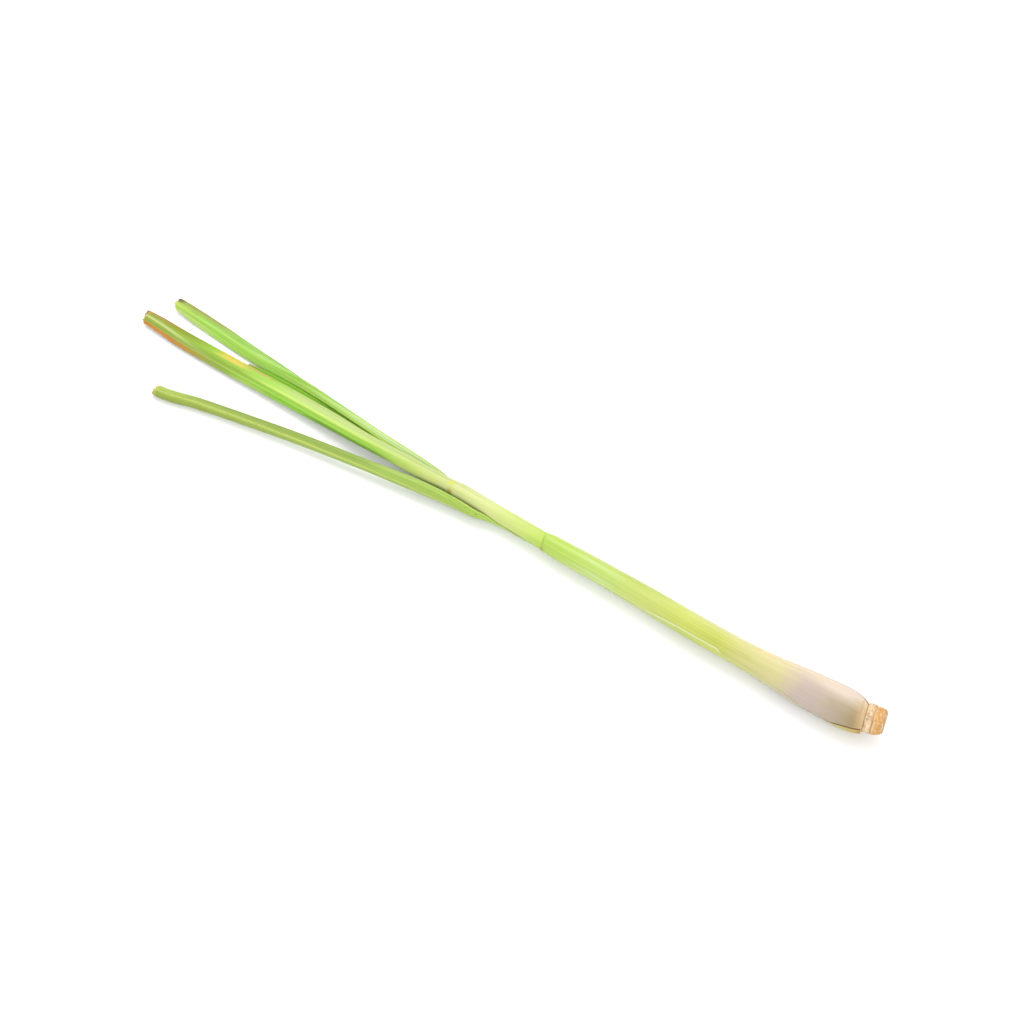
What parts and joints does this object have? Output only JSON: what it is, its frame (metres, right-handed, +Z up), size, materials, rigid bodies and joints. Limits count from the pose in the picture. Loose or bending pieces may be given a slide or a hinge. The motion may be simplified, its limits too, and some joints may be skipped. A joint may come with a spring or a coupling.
{
  "type": "lemongrass stalk",
  "caption": "Fresh lemongrass stalk trimmed for cooking, lying down: woody root stub, pale swollen foot, rolled leaf sheaths and cut grass blades fanning out at the other end.",
  "frame": {"origin": "on the table, under the middle of the stalk's bounding box", "axes": "+X along the stalk towards its root end, +Z up from the table, -Y towards the side where the lower leaf's blade lies"},
  "size_m": [0.4474, 0.0578, 0.0204],
  "materials": {
    "stub": "rough, fibrous cut rootstock",
    "dry_sheath": "satin, thin dry sheath",
    "lower_leaf": "waxy satin, cream at the foot, pale green above",
    "middle_leaf": "waxy satin, fine parallel veins",
    "top_leaf": "waxy satin, fine parallel veins",
    "heart_leaf": "waxy satin, fine parallel veins"
  },
  "bodies": {
    "root": {"root_stub": "stub", "old_sheath": "dry_sheath", "leaf_lower": "lower_leaf", "leaf_middle": "middle_leaf", "leaf_top": "top_leaf", "leaf_heart": "heart_leaf"}
  },
  "joints": []
}
